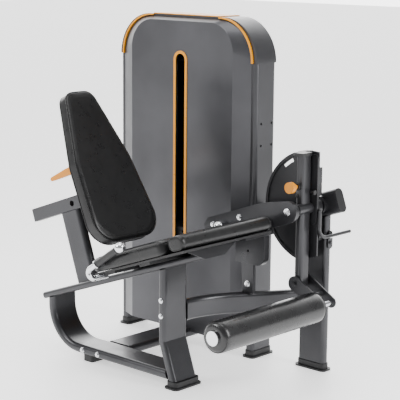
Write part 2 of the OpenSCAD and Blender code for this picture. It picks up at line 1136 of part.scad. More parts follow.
module cam_lever() {
    x0 = 513;
    color(dark)
        difference() {
            union() {
                slab(lever_y0, web_y0)
                    polygon([[x0, 676], [x0 + 14, 658], [lever_front - 8, 664], [lever_front, 690],
                        [lever_front, 942], [lever_front - 8, 954], [x0, 954]]);
                slab(web_y1, web_y1 + 18)
                    polygon([[lever_front - 6, 780], [lever_front, 780], [lever_front, 900],
                        [lever_front - 6, 900]]);
            }
            rod_along_y(pivot_x, pivot_z, lever_y0 - 5, web_y1 + 5, shaft_r + 1);
        }
}

module rod_handle() {
    color(metal) {
        translate([rod_x, rod_y, rod_z + rod_bend])
            cylinder(r = rod_bar_r, h = 74);
        translate([rod_x, rod_y + rod_bend, rod_z + rod_bend])
            rotate([90, 0, -90])
                rotate([0, 0, 270])
                    rotate_extrude(angle = 90)
                        translate([rod_bend, 0])
                            circle(rod_bar_r);
        rod_along_y(rod_x, rod_z, rod_y + rod_bend, rod_end, rod_bar_r);
        translate([rod_x, rod_end, rod_z])
            sphere(rod_bar_r);
    }
}

module cam_cable() {
    color(dark)
        translate([pivot_x, stack_y, pivot_z])
            rotate([90, 0, 0])
                rotate([0, 0, 165])
                    rotate_extrude(angle = 110, $fn = 128)
                        translate([cable_r, 0])
                            circle(wire_r);
}

module leg_arm() {
    arm_w = arm_y1 - arm_y0;
    color(metal)
        difference() {
            union() {
                translate([arm_x, (arm_y0 + arm_y1) / 2, 0])
                    tube_along_z(arm_bottom, arm_top, arm_t, arm_w, 15, 4);
                rod_along_y(pivot_x, pivot_z, hub_y0, arm_y1, hub_r);
            }
            rod_along_y(pivot_x, pivot_z, 150, 300, shaft_r + fit);
            rod_along_y(arm_x, pivot_z + pin_dz, arm_y0 - 5, arm_y1 + 5, start_pin_r + fit);
            rod_along_y(ankle_x, ankle_z, arm_y0 - 5, arm_y1 + 5, 8 + fit);
        }
}

module arm_plug() {
    color(dark)
        translate([arm_x - 3, (arm_y0 + arm_y1) / 2 - 5, arm_top])
            linear_extrude(14)
                rounded(arm_t + 14, arm_y1 - arm_y0 + 10, 12);
}

module start_pin() {
    z = pivot_z + pin_dz;
    color(chrome)
        rod_along_y(arm_x, z, 170, web_y0 + 4, start_pin_r);
    color(orange) {
        rod_along_y(arm_x, z, 151, 171, 23.5);
        rod_along_y(arm_x, z, 171, 190, 13);
    }
}

module arm_hardware() {
    z = pivot_z + pin_dz;
    color(dark)
        difference() {
            union() {
                rod_along_y(arm_x, z, 203, 212, 14);
                rod_along_y(arm_x, z, 212, arm_y0, 18);
            }
            rod_along_y(arm_x, z, 180, 230, start_pin_r + fit);
        }
    color(chrome) {
        rod_along_x(266, 798, arm_x + arm_t / 2, arm_x + arm_t / 2 + 20, 5);
        rod_along_x(266, 798, arm_x + arm_t / 2 + 20, arm_x + arm_t / 2 + 28, 10);
        hex_bolt(arm_x - 8, arm_y0, 784, 6, 5);
    }
}

module bracket_outline() {
    hull() {
        translate([ankle_x, ankle_z])
            circle(33, $fn = 32);
        translate([roller_x, roller_z])
            circle(24, $fn = 32);
    }
}

module ankle_bracket() {
    color(metal)
        difference() {
            union() {
                slab(near_y, near_y + bracket_t)
                    bracket_outline();
                slab(far_y, far_y + bracket_t)
                    bracket_outline();
                rod_along_y((ankle_x + roller_x) / 2 + 14, (ankle_z + roller_z) / 2 - 6,
                    near_y + bracket_t, far_y, 13);
            }
            rod_along_y(ankle_x, ankle_z, near_y - 5, far_y + 20, 8 + fit);
            rod_along_y(roller_x, roller_z, near_y - 5, far_y + 20, shaft2_r + fit);
        }
    color(chrome) {
        rod_along_y(ankle_x, ankle_z, near_y - 2, far_y + bracket_t + 2, 8);
        hex_bolt(ankle_x, near_y, ankle_z, 11, 8);
        rod_along_y(ankle_x, ankle_z, far_y + bracket_t, far_y + bracket_t + 8, 12);
    }
}

module roller_shaft() {
    color(chrome) {
        rod_along_y(roller_x, roller_z, roller_y0 - 4, far_y + bracket_t + 4, shaft2_r);
        rod_along_y(roller_x, roller_z, roller_y1 + 4, near_y - 0.5, 20);
    }
}

module roller_pad() {
    color(vinyl)
        difference() {
            rod_along_y(roller_x, roller_z, roller_y0, roller_y1, roller_d / 2);
            rod_along_y(roller_x, roller_z, roller_y0 - 1, roller_y1 + 1, shaft2_r + 6);
        }
}

module roller_caps() {
    color(chrome)
        difference() {
            union() {
                rod_along_y(roller_x, roller_z, roller_y0 - 10, roller_y0 - 0.3, 29);
                rod_along_y(roller_x, roller_z, roller_y0 + 0.3, roller_y1 - 0.3, shaft2_r + 5.5);
            }
            rod_along_y(roller_x, roller_z, roller_y0 - 6, roller_y1 + 1, shaft2_r + fit);
        }
}

module stop_bracket() {
    x = column_x0 + tube_w;
    color(metal)
        translate([x, column_y, 0]) {
            translate([0, -15, rod_z - 44])
                cube([8, 30, 30]);
            rod_along_x(0, rod_z - 44, 0, 8, 15);
        }
    color(chrome)
        translate([x + 8, column_y, rod_z - 32])
            rotate([0, 90, 0])
                cylinder(r = 8, h = 6, $fn = 6);
}

// ---- Feet and fasteners ----

module boot(x, y, w, d) {
    lip = 8;
    translate([x, y, 0])
        difference() {
            union() {
                linear_extrude(8)
                    rounded(w + 3 * lip, d + 3 * lip, 20);
                linear_extrude(32)
                    rounded(w + lip, d + lip, tube_r + lip / 2);
            }
            translate([0, 0, foot_z])
                linear_extrude(40)
                    rounded(w, d, tube_r);
        }
}

module rubber_boots() {
    post_foot = post_x + (post_bend_z - 18) * tan(tilt);
    color(dark) {
        for (x = [leg_l + leg_t / 2, leg_r - leg_t / 2])
            boot(x, (tower_y0 + tower_y1) / 2, leg_t, tower_d);
        boot(column_x0 + tube_w / 2, column_y, tube_w, tube_t);
        difference() {
            translate([post_foot, seat_y, 0]) {
                linear_extrude(8)
                    rounded(tube_t + 36, tube_w + 24, 20);
                linear_extrude(32)
                    rounded(tube_t + 22, tube_w + 8, 20);
            }
            difference() {
                translate([post_x, seat_y, post_bend_z])
                    rotate([0, -tilt, 0])
                        translate([0, 0, -300])
                            linear_extrude(300)
                                rounded(tube_t, tube_w, tube_r);
                translate([-500, -500, -1])
                    cube([1200, 1000, foot_z + 1]);
            }
        }
        translate([-290, seat_y, 0])
            linear_extrude(run_z)
                rounded(60, 110, 12);
    }
}

module frame_bolts() {
    y = seat_y - tube_w / 2;
    color(chrome) {
        for (x = [-306, -210])
            hex_bolt(x, y, run_z + tube_t / 2, 9, 7);
        for (z = [300, 366])
            hex_bolt(post_x, y, z, 8, 6);
        on_rail()
            translate([0, -seat_y, 0])
                for (u = [-37, 121])
                    hex_bolt(u, plate_y0, 109, 10, 8);
        hex_bolt(290, plate_y1 + 4.5, 384, 11, 8);
    }
}

tower_legs();
tower_top_arch();
front_shroud();
rear_shroud();
top_trim();
slot_trim();
stack_crossbars();
rubber_bumpers();
resting_plates();
guide_rods();
pulley_mounts();
drive_cable();
seat_rail();
j_tube();
seat_post();
cross_tube();
curved_base_tube();
column();
pivot_beam();
tube_plugs();
side_plate();
pivot_bearings();
pivot_shaft();
guard_cover();
seat_strut();
front_gusset();
seat_board();
seat_cushion();
seat_bolster();
grab_handles();
handle_grips();
handle_caps();
backrest_post();
stop_bracket();
rubber_boots();
frame_bolts();
stack_pulley();
corner_pulley();
entry_pulley();
lifted_plates();
selector_stem();
selector_pin();
stack_cable();
cam_disc();
cam_lever();
rod_handle();
cam_cable();
leg_arm();
arm_plug();
start_pin();
arm_hardware();
ankle_bracket();
roller_shaft();
roller_pad();
roller_caps();
backrest_bar();
backrest_carriage();
backrest_board();
backrest_pad();
release_lever();
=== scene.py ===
import math

import bmesh
import bpy
import numpy as np
from mathutils import Matrix, Vector
from mathutils.bvhtree import BVHTree


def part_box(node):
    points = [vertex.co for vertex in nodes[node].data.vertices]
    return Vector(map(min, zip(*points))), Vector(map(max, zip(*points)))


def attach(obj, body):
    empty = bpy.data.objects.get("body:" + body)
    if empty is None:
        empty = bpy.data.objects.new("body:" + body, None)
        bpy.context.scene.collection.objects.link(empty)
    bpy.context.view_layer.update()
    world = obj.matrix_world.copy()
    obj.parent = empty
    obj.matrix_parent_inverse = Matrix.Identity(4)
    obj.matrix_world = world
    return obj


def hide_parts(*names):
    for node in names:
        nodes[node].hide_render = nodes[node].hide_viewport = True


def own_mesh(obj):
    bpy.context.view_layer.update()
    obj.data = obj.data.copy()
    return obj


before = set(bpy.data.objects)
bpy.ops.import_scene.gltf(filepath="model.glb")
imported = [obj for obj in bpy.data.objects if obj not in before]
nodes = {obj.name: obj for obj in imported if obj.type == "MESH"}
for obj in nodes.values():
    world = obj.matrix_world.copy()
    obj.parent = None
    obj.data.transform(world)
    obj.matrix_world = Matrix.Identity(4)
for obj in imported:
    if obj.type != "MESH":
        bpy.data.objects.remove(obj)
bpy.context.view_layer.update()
scene = bpy.context.scene

# ---- Where things are, in metres, in the frame's own axes ----

TILT = math.radians(19.5)            # the seat rail's slope
LEAN = math.radians(10.0)            # how far the backrest leans back from square to the rail
RAIL_ORIGIN = (0.174, -0.194, 0.528)
BACK_ORIGIN = (-0.203, 0.0, 0.150)   # in the rail's axes


def mix(a, b, t):
    return a + (b - a) * t


def rail_matrix():
    """The seat's own axes: x up the rail, y towards the tower, z square to the rail."""
    return Matrix.Translation(RAIL_ORIGIN) @ Matrix.Rotation(-TILT, 4, "Y")


def back_matrix():
    """The backrest's own axes: x out of the front of the pad, y across it, z up it."""
    return rail_matrix() @ Matrix.Translation(BACK_ORIGIN) @ Matrix.Rotation(-LEAN, 4, "Y")


RAIL = rail_matrix()
BACK = back_matrix()


# ---- Materials ----

class Nodes:
    """Short calls that build one node material."""

    def __init__(self, name):
        self.mat = bpy.data.materials.new(name)
        self.mat.use_nodes = True
        self.tree = self.mat.node_tree
        self.shader = self.tree.nodes["Principled BSDF"]
        self.coord = self.tree.nodes.new("ShaderNodeTexCoord").outputs["Object"]

    def set(self, **values):
        for key, value in values.items():
            self.shader.inputs[key.replace("_", " ")].default_value = value

    def link(self, a, b):
        self.tree.links.new(a, b)

    def noise(self, scale, detail=3.0, rough=0.5, stretch=None):
        n = self.tree.nodes.new("ShaderNodeTexNoise")
        n.inputs["Scale"].default_value = scale
        n.inputs["Detail"].default_value = detail
        n.inputs["Roughness"].default_value = rough
        source = self.coord
        if stretch:
            m = self.tree.nodes.new("ShaderNodeMapping")
            m.inputs["Scale"].default_value = stretch
            self.link(source, m.inputs["Vector"])
            source = m.outputs["Vector"]
        self.link(source, n.inputs["Vector"])
        return n.outputs["Fac"]

    def cell_edges(self, scale):
        n = self.tree.nodes.new("ShaderNodeTexVoronoi")
        n.feature = "DISTANCE_TO_EDGE"
        n.inputs["Scale"].default_value = scale
        self.link(self.coord, n.inputs["Vector"])
        return n.outputs["Distance"]

    def remap(self, value, low, high, to_low, to_high):
        n = self.tree.nodes.new("ShaderNodeMapRange")
        for i, v in enumerate((low, high, to_low, to_high)):
            n.inputs[i + 1].default_value = v
        self.link(value, n.inputs[0])
        return n.outputs[0]

    def ramp(self, value, stops):
        n = self.tree.nodes.new("ShaderNodeValToRGB")
        while len(n.color_ramp.elements) < len(stops):
            n.color_ramp.elements.new(0.5)
        for e, (at, colour) in zip(n.color_ramp.elements, stops):
            e.position = at
            e.color = (*colour, 1.0)
        self.link(value, n.inputs["Fac"])
        return n.outputs["Color"]

    def bump(self, height, distance, strength=1.0, over=None):
        n = self.tree.nodes.new("ShaderNodeBump")
        n.inputs["Distance"].default_value = distance
        n.inputs["Strength"].default_value = strength
        self.link(height, n.inputs["Height"])
        if over is not None:
            self.link(over, n.inputs["Normal"])
        return n.outputs["Normal"]

    def soft_edges(self, radius):
        n = self.tree.nodes.new("ShaderNodeBevel")
        n.samples = 4
        n.inputs["Radius"].default_value = radius
        return n.outputs["Normal"]

    def colour(self, socket):
        self.link(socket, self.shader.inputs["Base Color"])

    def rough(self, socket):
        self.link(socket, self.shader.inputs["Roughness"])

    def normal(self, socket):
        self.link(socket, self.shader.inputs["Normal"])


def paint(name, dark, light, rough, metallic, edge=0.0015):
    """Powder coat with metallic flake, a fine orange peel and slightly rounded edges."""
    m = Nodes(name)
    m.set(Metallic=metallic, Specular_IOR_Level=0.5, Coat_Weight=0.25, Coat_Roughness=0.2)
    speck = m.noise(1400.0, 2.0, 0.6)
    cloud = m.noise(3.0, 3.0, 0.5)
    both = m.tree.nodes.new("ShaderNodeMath")
    both.operation = "MULTIPLY_ADD"
    m.link(speck, both.inputs[0])
    both.inputs[1].default_value = 0.55
    m.link(m.remap(cloud, 0.3, 0.7, 0.10, 0.34), both.inputs[2])
    m.colour(m.ramp(both.outputs[0], [(0.25, dark), (0.75, light)]))
    m.rough(m.remap(m.noise(9.0, 4.0, 0.6), 0.3, 0.7, rough - 0.05, rough + 0.07))
    m.normal(m.bump(m.noise(420.0, 2.0, 0.5), 0.00012, 0.6, m.soft_edges(edge)))
    return m.mat


def plain(name, colour, rough, metallic, grain, depth, edge, vary=0.25):
    """One colour with slow variation, a fine grain and, where edge isn't 0, rounded edges."""
    m = Nodes(name)
    m.set(Metallic=metallic)
    low = tuple(c * (1 - vary) for c in colour)
    high = tuple(min(1.0, c * (1 + vary)) for c in colour)
    m.colour(m.ramp(m.noise(14.0, 5.0, 0.6), [(0.3, low), (0.7, high)]))
    m.rough(m.remap(m.noise(22.0, 4.0, 0.6), 0.3, 0.7, rough - 0.05, rough + 0.08))
    m.normal(m.bump(m.noise(grain, 3.0, 0.6), depth, 0.7, m.soft_edges(edge) if edge else None))
    return m.mat


def vinyl(name, rough=0.30, grain=420.0, depth=0.00008, base=0.006):
    """Upholstery vinyl: leather grain cells, fine pores and a soft gloss."""
    m = Nodes(name)
    m.set(Specular_IOR_Level=0.38)
    tone = m.noise(6.0, 4.0, 0.55)
    m.colour(m.ramp(tone, [(0.3, (base, base, base * 1.04)),
                           (0.75, (base * 1.7, base * 1.7, base * 1.8))]))
    m.rough(m.remap(m.noise(30.0, 4.0, 0.6), 0.3, 0.7, rough - 0.05, rough + 0.08))
    cells = m.bump(m.cell_edges(grain), depth, 0.3)
    m.normal(m.bump(m.noise(1100.0, 2.0, 0.5), depth * 0.25, 0.3, cells))
    return m.mat


def foam_skin(name):
    """Moulded foam: a smooth glossy skin with long shallow waves and almost no grain."""
    m = Nodes(name)
    m.set(Specular_IOR_Level=0.5, Coat_Weight=0.15, Coat_Roughness=0.12)
    m.colour(m.ramp(m.noise(7.0, 3.0, 0.5), [(0.3, (0.006, 0.006, 0.0065)),
                                             (0.7, (0.011, 0.011, 0.012))]))
    m.rough(m.remap(m.noise(18.0, 3.0, 0.5), 0.3, 0.7, 0.24, 0.33))
    waves = m.bump(m.noise(16.0, 2.0, 0.4), 0.0010, 0.25)
    m.normal(m.bump(m.noise(700.0, 2.0, 0.5), 0.00001, 0.3, waves))
    return m.mat


def polished(name, colour=(0.82, 0.83, 0.85), rough=0.12):
    """Bright metal with a fine brushed grain."""
    m = Nodes(name)
    m.set(Metallic=1.0, Base_Color=(*colour, 1.0))
    m.rough(m.remap(m.noise(60.0, 5.0, 0.6), 0.3, 0.7, rough - 0.04, rough + 0.06))
    m.normal(m.bump(m.noise(900.0, 2.0, 0.5, (1.0, 1.0, 0.08)), 0.00003, 0.4, m.soft_edges(0.0008)))
    return m.mat


def cable_sheath(name):
    """Coated wire rope: the strands show as a fine twist through the sheath."""
    m = Nodes(name)
    m.set(Roughness=0.32)
    m.colour(m.ramp(m.noise(300.0, 2.0, 0.5), [(0.3, (0.012, 0.012, 0.013)),
                                               (0.7, (0.035, 0.035, 0.037))]))
    wave = m.tree.nodes.new("ShaderNodeTexWave")
    wave.bands_direction = "DIAGONAL"
    wave.inputs["Scale"].default_value = 160.0
    m.link(m.coord, wave.inputs["Vector"])
    m.normal(m.bump(wave.outputs["Fac"], 0.0003, 0.5))
    return m.mat


MAT = {
    "frame": paint("frame_powder_coat", (0.016, 0.016, 0.018), (0.068, 0.068, 0.074), 0.32, 0.6),
    "shroud": paint("shroud_powder_coat", (0.036, 0.036, 0.040), (0.096, 0.096, 0.104),
                    0.34, 0.7, 0.004),
    "orange": plain("orange_gloss", (0.74, 0.285, 0.0), 0.30, 0.0, 300.0, 0.00004, 0.0008, 0.06),
    "orange_plastic": plain("orange_satin_plastic", (0.66, 0.235, 0.0), 0.36, 0.0, 900.0, 0.00008,
                            0.002, 0.08),
    "vinyl": vinyl("black_upholstery_vinyl"),
    "piping": vinyl("black_piping_vinyl", 0.28, 700.0, 0.00006, 0.005),
    "roller": foam_skin("black_roller_skin"),
    "rubber": plain("black_rubber", (0.008, 0.008, 0.009), 0.5, 0.0, 500.0, 0.00025, 0.002),
    "grip": plain("ribbed_grip_rubber", (0.007, 0.007, 0.008), 0.45, 0.0, 700.0, 0.0003, 0.001),
    "plastic": plain("black_moulded_plastic", (0.010, 0.010, 0.011), 0.34, 0.0, 900.0, 0.0001, 0.0015),
    "board": plain("black_painted_board", (0.009, 0.009, 0.010), 0.45, 0.0, 120.0, 0.0002, 0.0015),
    "dark_steel": paint("black_satin_steel", (0.010, 0.010, 0.012), (0.038, 0.038, 0.041), 0.34, 0.5),
    # Stack plates: black cast iron, whose near-black colour is also painted shade standing in for the
    # dark interior of the closed tower seen through the slot.
    "iron": plain("cast_plate_iron_darkened_for_slot_shade", (0.030, 0.030, 0.032), 0.55, 0.6, 160.0, 0.0006, 0.001, 0.35),
    "chrome": polished("polished_chrome"),
    "steel": polished("ground_steel", (0.62, 0.63, 0.65), 0.22),
    "cable": cable_sheath("cable_sheath"),
    "thread": plain("black_thread", (0.030, 0.030, 0.032), 0.6, 0.0, 1500.0, 0.0001, 0.0),
}

USES = {
    "frame": ["tower_legs", "tower_top_arch", "stack_crossbars", "pulley_mounts", "seat_rail", "j_tube",
              "seat_post", "cross_tube", "curved_base_tube", "column", "pivot_beam", "side_plate",
              "guard_cover", "seat_strut", "front_gusset", "backrest_post", "stop_bracket", "leg_arm",
              "ankle_bracket", "backrest_bar", "backrest_carriage"],
    "shroud": ["front_shroud", "rear_shroud"],
    "orange": ["top_trim", "slot_trim"],
    "orange_plastic": ["start_pin", "selector_pin", "release_lever"],
    "rubber": ["rubber_bumpers", "rubber_boots"],
    "grip": ["handle_grips"],
    "plastic": ["tube_plugs", "arm_plug", "stack_pulley", "corner_pulley", "entry_pulley",
                "arm_hardware"],
    "board": ["seat_board", "backrest_board"],
    "dark_steel": ["cam_disc", "cam_lever", "rod_handle", "pivot_bearings"],
    "iron": ["resting_plates", "lifted_plates"],
    "chrome": ["guide_rods", "pivot_shaft", "grab_handles", "handle_caps", "frame_bolts",
               "roller_caps"],
    "steel": ["selector_stem", "roller_shaft"],
    "cable": ["drive_cable", "stack_cable", "cam_cable"],
}


def wear(obj, material):
    obj.data.materials.clear()
    obj.data.materials.append(material)


for key, names in USES.items():
    for n in names:
        wear(nodes[n], MAT[key])


# ---- Making pieces ----

def new_object(name, mesh):
    obj = bpy.data.objects.new(name, mesh)
    scene.collection.objects.link(obj)
    return obj


def circle_steps(count):
    """Evenly spaced angles round a whole turn."""
    return [2 * math.pi * k / count for k in range(count)]


def from_bmesh(name, bm, smooth=True):
    mesh = bpy.data.meshes.new(name)
    bm.normal_update()
    bm.to_mesh(mesh)
    bm.free()
    if smooth:
        mesh.polygons.foreach_set("use_smooth", [True] * len(mesh.polygons))
    return new_object(name, mesh)


def finish_piece(obj, body, material, slot, *replaced):
    wear(obj, material)
    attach(obj, body)
    if replaced:
        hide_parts(*replaced)
    return obj


def tube_mesh(bm, path, radius, sides=8, closed=False):
    """A round tube along a list of points, added to bm."""
    rings = []
    n = len(path)
    up = None
    for i, p in enumerate(path):
        a = path[(i - 1) % n] if closed or i > 0 else path[0]
        b = path[(i + 1) % n] if closed or i < n - 1 else path[-1]
        d = (b - a).normalized()
        if up is None:
            up = d.orthogonal().normalized()
        side = d.cross(up).normalized()
        up = side.cross(d).normalized()
        rings.append([bm.verts.new(p + radius * (math.cos(t) * side + math.sin(t) * up))
                      for t in circle_steps(sides)])
    spans = n if closed else n - 1
    for i in range(spans):
        r0, r1 = rings[i], rings[(i + 1) % n]
        shift = 0
        if closed and i == n - 1:
            shift = min(range(sides), key=lambda s: (r0[0].co - r1[s].co).length)
        for k in range(sides):
            bm.faces.new((r0[k], r0[(k + 1) % sides],
                          r1[(k + 1 + shift) % sides], r1[(k + shift) % sides]))
    if not closed:
        bm.faces.new(rings[0])
        bm.faces.new(list(reversed(rings[-1])))
    bmesh.ops.recalc_face_normals(bm, faces=bm.faces)


def tube_object(name, paths, radius, sides=8, closed=False):
    bm = bmesh.new()
    for path in paths:
        tube_mesh(bm, path, radius, sides, closed)
    return from_bmesh(name, bm)


def lathe(name, profile, origin, axis, steps):
    """Turns (along, radius) points about an axis."""
    axis = Vector(axis).normalized()
    side = axis.orthogonal().normalized()
    other = axis.cross(side)
    bm = bmesh.new()
    rings = []
    for along, radius in profile:
        centre = Vector(origin) + axis * along
        if radius < 1e-6:
            rings.append([bm.verts.new(centre)])
        else:
            rings.append([bm.verts.new(centre + radius * (math.cos(t) * side + math.sin(t) * other))
                          for t in circle_steps(steps)])
    for r0, r1 in zip(rings, rings[1:]):
        for k in range(steps):
            j = (k + 1) % steps
            if len(r0) == 1 and len(r1) == 1:
                continue
            if len(r0) == 1:
                bm.faces.new((r0[0], r1[j], r1[k]))
            elif len(r1) == 1:
                bm.faces.new((r0[k], r0[j], r1[0]))
            else:
                bm.faces.new((r0[k], r0[j], r1[j], r1[k]))
    bmesh.ops.recalc_face_normals(bm, faces=bm.faces)
    return from_bmesh(name, bm)


def resample(points, step):
    """Points spaced evenly round a closed outline."""
    out = []
    n = len(points)
    lengths = [(points[(i + 1) % n] - points[i]).length for i in range(n)]
    total = sum(lengths)
    count = max(8, int(round(total / step)))
    i, done = 0, 0.0
    for k in range(count):
        want = total * k / count
        while done + lengths[i] < want:
            done += lengths[i]
            i += 1
        t = (want - done) / lengths[i] if lengths[i] else 0.0
        out.append(points[i].lerp(points[(i + 1) % n], t))
    return out


def hull_outline(circles, points=80):
    """The outline round a set of circles (x, y, r), as a convex loop of points."""
    raw = []
    for x, y, r in circles:
        for t in circle_steps(points):
            raw.append((x + r * math.cos(t), y + r * math.sin(t)))
    raw = sorted(set(raw))

    def half(pts):
        chain = []
        for p in pts:
            while len(chain) > 1:
                (ax, ay), (bx, by) = chain[-2], chain[-1]
                if (bx - ax) * (p[1] - ay) - (by - ay) * (p[0] - ax) > 1e-12:
                    break
                chain.pop()
            chain.append(p)
        return chain[:-1]

    loop = half(raw) + half(raw[::-1])
    return resample([Vector((a, b, 0.0)) for a, b in loop], 0.006)


def inset(loop, by):
    """A loop of (a, b) points moved inwards by that much."""
    centre = sum(loop, Vector()) / len(loop)
    out = []
    n = len(loop)
    for i, p in enumerate(loop):
        d = (loop[(i + 1) % n] - loop[i - 1]).normalized()
        normal = Vector((d.y, -d.x, 0.0))
        if normal.dot(centre - p) < 0:
            normal = -normal
        out.append(p + normal * by)
    return out


def pad_body(name, loop, levels, place):
    """A closed pad from an outline at several heights.

    levels are (height, inset) from back to front, and place puts a point into the frame.
    """
    bm = bmesh.new()
    rings = []
    for height, move in levels:
        ring = inset(loop, move) if move else loop
        rings.append([bm.verts.new(place(p.x, p.y, height)) for p in ring])
    n = len(loop)
    for r0, r1 in zip(rings, rings[1:]):
        for k in range(n):
            bm.faces.new((r0[k], r0[(k + 1) % n], r1[(k + 1) % n], r1[k]))
    for ring in (rings[0], rings[-1]):
        bm.faces.new(ring)
    bmesh.ops.triangulate(bm, faces=[f for f in bm.faces if len(f.verts) > 4])
    bmesh.ops.recalc_face_normals(bm, faces=bm.faces)
    return from_bmesh(name, bm)


PRESSURE = 4.0
CLOTH_FRAMES = 20
SPREAD_ROUNDS = 80     # how often the bulge is averaged with its neighbours


def evaluated_mesh(obj):
    """A new mesh of the object as its modifiers leave it."""
    graph = bpy.context.evaluated_depsgraph_get()
    return bpy.data.meshes.new_from_object(obj.evaluated_get(graph))


def apply_modifiers(obj):
    mesh = evaluated_mesh(obj)
    obj.modifiers.clear()
    obj.data = mesh
    return mesh


def inflate(obj, voxel, cap, held):
    """Blows a pad up as cloth and keeps the smoothed outward part of it, up to cap.

    held says which points stay where they are.
    """
    remesh = obj.modifiers.new("remesh", "REMESH")
    remesh.mode = "VOXEL"
    remesh.voxel_size = voxel
    apply_modifiers(obj)
    settle = obj.modifiers.new("settle", "SMOOTH")
    settle.factor = 0.5
    settle.iterations = 3
    mesh = apply_modifiers(obj)
    rest = np.array([v.co for v in mesh.vertices])
    group = obj.vertex_groups.new(name="held")
    group.add([i for i, c in enumerate(rest) if held(Vector(c))], 1.0, "REPLACE")
    cloth = obj.modifiers.new("cloth", "CLOTH")
    s = cloth.settings
    s.quality = 5
    s.mass = 0.3
    s.tension_stiffness = 40.0
    s.compression_stiffness = 40.0
    s.shear_stiffness = 20.0
    s.bending_stiffness = 10.0
    s.use_pressure = True
    s.uniform_pressure_force = PRESSURE
    s.vertex_group_mass = "held"
    s.effector_weights.gravity = 0.0
    cloth.collision_settings.use_self_collision = False
    cloth.point_cache.frame_start = 1
    cloth.point_cache.frame_end = CLOTH_FRAMES
    for f in range(1, CLOTH_FRAMES + 1):
        scene.frame_set(f)
    blown = evaluated_mesh(obj)
    move = np.array([v.co for v in blown.vertices]) - rest
    outward = np.array([v.normal for v in mesh.vertices])
    rise = np.maximum((move * outward).sum(axis=1), 0.0)
    a, b = np.array([e.vertices[:] for e in blown.edges]).T
    degree = np.bincount(np.concatenate((a, b)), minlength=len(rest))
    fixed = np.array([held(Vector(c)) for c in rest])
    for _ in range(SPREAD_ROUNDS):
        total = np.bincount(a, rise[b], len(rest)) + np.bincount(b, rise[a], len(rest))
        rise = (rise + total / degree) / 2
        rise[fixed] = 0.0
    move = outward * np.minimum(rise, cap)[:, None]
    blown.vertices.foreach_set("co", (rest + move).ravel())
    obj.modifiers.clear()
    obj.vertex_groups.clear()
    obj.data = blown
    scene.frame_set(1)
    obj.data.polygons.foreach_set("use_smooth", [True] * len(obj.data.polygons))
    sub = obj.modifiers.new("subdivision", "SUBSURF")
    sub.levels = 1
    sub.render_levels = 1


def surface_of(obj):
    bm = bmesh.new()
    bm.from_mesh(obj.data)
    tree = BVHTree.FromBMesh(bm)
    bm.free()
    return tree


def snapped(tree, points, lift):
    out = []
    for p in points:
        at, normal, _, _ = tree.find_nearest(p)
        out.append(at + normal * lift)
    return out


def relaxed(points, rounds):
    for _ in range(rounds):
        n = len(points)
        points = [(points[i - 1] + points[i] * 2 + points[(i + 1) % n]) / 4 for i in range(n)]
    return points


def stitches(name, tree, loop, every, length, radius):
    """A row of short threads lying on the surface along a closed loop."""
    points = resample(loop, every)
    bm = bmesh.new()
    n = len(points)
    for i in range(n):
        a, b = points[i], points[(i + 1) % n]
        d = (b - a).normalized() * length / 2
        mid = (a + b) / 2
        ends = snapped(tree, [mid - d, mid, mid + d], radius * 0.35)
        tube_mesh(bm, ends, radius, 5)
    return from_bmesh(name, bm)


# ---- Seat cushion, front bolster and backrest ----

def rounded_rect(x0, x1, y0, y1, r, arc=8):
    pts = []
    for cx, cy, start in ((x1 - r, y1 - r, 0), (x0 + r, y1 - r, 90),
                          (x0 + r, y0 + r, 180), (x1 - r, y0 + r, 270)):
        for k in range(arc + 1):
            t = math.radians(start + 90 * k / arc)
            pts.append(Vector((cx + r * math.cos(t), cy + r * math.sin(t), 0.0)))
    return pts


def on_rail(x, y, z):
    return RAIL @ Vector((x, y, z))


def on_back(a, b, h):
    return BACK @ Vector((h, a, b))


def to_rail(p):
    return RAIL.inverted() @ p


def to_back(p):
    return BACK.inverted() @ p


def bolster_place(a, b, h):
    return RAIL @ Vector((a, h, b))


HELD_BELOW = 0.024            # seat pads lie on their board up to here, in the rail's z
BACK_HELD_BEHIND = -0.055     # and the backrest's pad up to here, in its own x

# Outlines are in each pad's own axes, with levels of (height, inset)
SEAT_X, SEAT_Y, SEAT_CORNER = (-0.203, 0.230), (-0.266, 0.266), 0.034
SEAT_LEVELS = [(0.0215, 0.008), (0.024, 0.002), (0.034, 0.0), (0.060, 0.0),
               (0.069, 0.002), (0.0755, 0.007), (0.0785, 0.016)]
BOLSTER_X, BOLSTER_Z, BOLSTER_CORNER = (0.258, 0.341), (0.0225, 0.0835), 0.028
BOLSTER_LEVELS = [(-0.265, 0.010), (-0.2625, 0.004), (-0.258, 0.0015), (-0.250, 0.0),
                  (0.250, 0.0), (0.258, 0.0015), (0.2625, 0.004), (0.265, 0.010)]
BACK_CIRCLES = [(0.038, 0.616, 0.048), (0.060, 0.330, 0.098), (0.082, 0.080, 0.098)]
BACK_LEVELS = [(-0.0575, 0.006), (-0.056, 0.001), (-0.048, 0.0), (-0.026, 0.0),
               (-0.010, 0.0005), (-0.0055, 0.003), (-0.0035, 0.007), (-0.0025, 0.014)]

STITCH_EVERY, STITCH_LENGTH, STITCH_RADIUS = 0.0075, 0.005, 0.0006

seat_loop = resample(rounded_rect(*SEAT_X, *SEAT_Y, SEAT_CORNER), 0.007)
seat = pad_body("seat_cushion_pad", seat_loop, SEAT_LEVELS, on_rail)
inflate(seat, 0.005, 0.006, lambda c: to_rail(c).z < HELD_BELOW)
finish_piece(seat, "frame", MAT["vinyl"], "black_vinyl", "seat_cushion")

bolster_loop = resample(rounded_rect(*BOLSTER_X, *BOLSTER_Z, BOLSTER_CORNER), 0.005)
bolster = pad_body("seat_bolster_pad", bolster_loop, BOLSTER_LEVELS, bolster_place)
inflate(bolster, 0.004, 0.003, lambda c: to_rail(c).z < HELD_BELOW)
finish_piece(bolster, "frame", MAT["vinyl"], "black_vinyl", "seat_bolster")

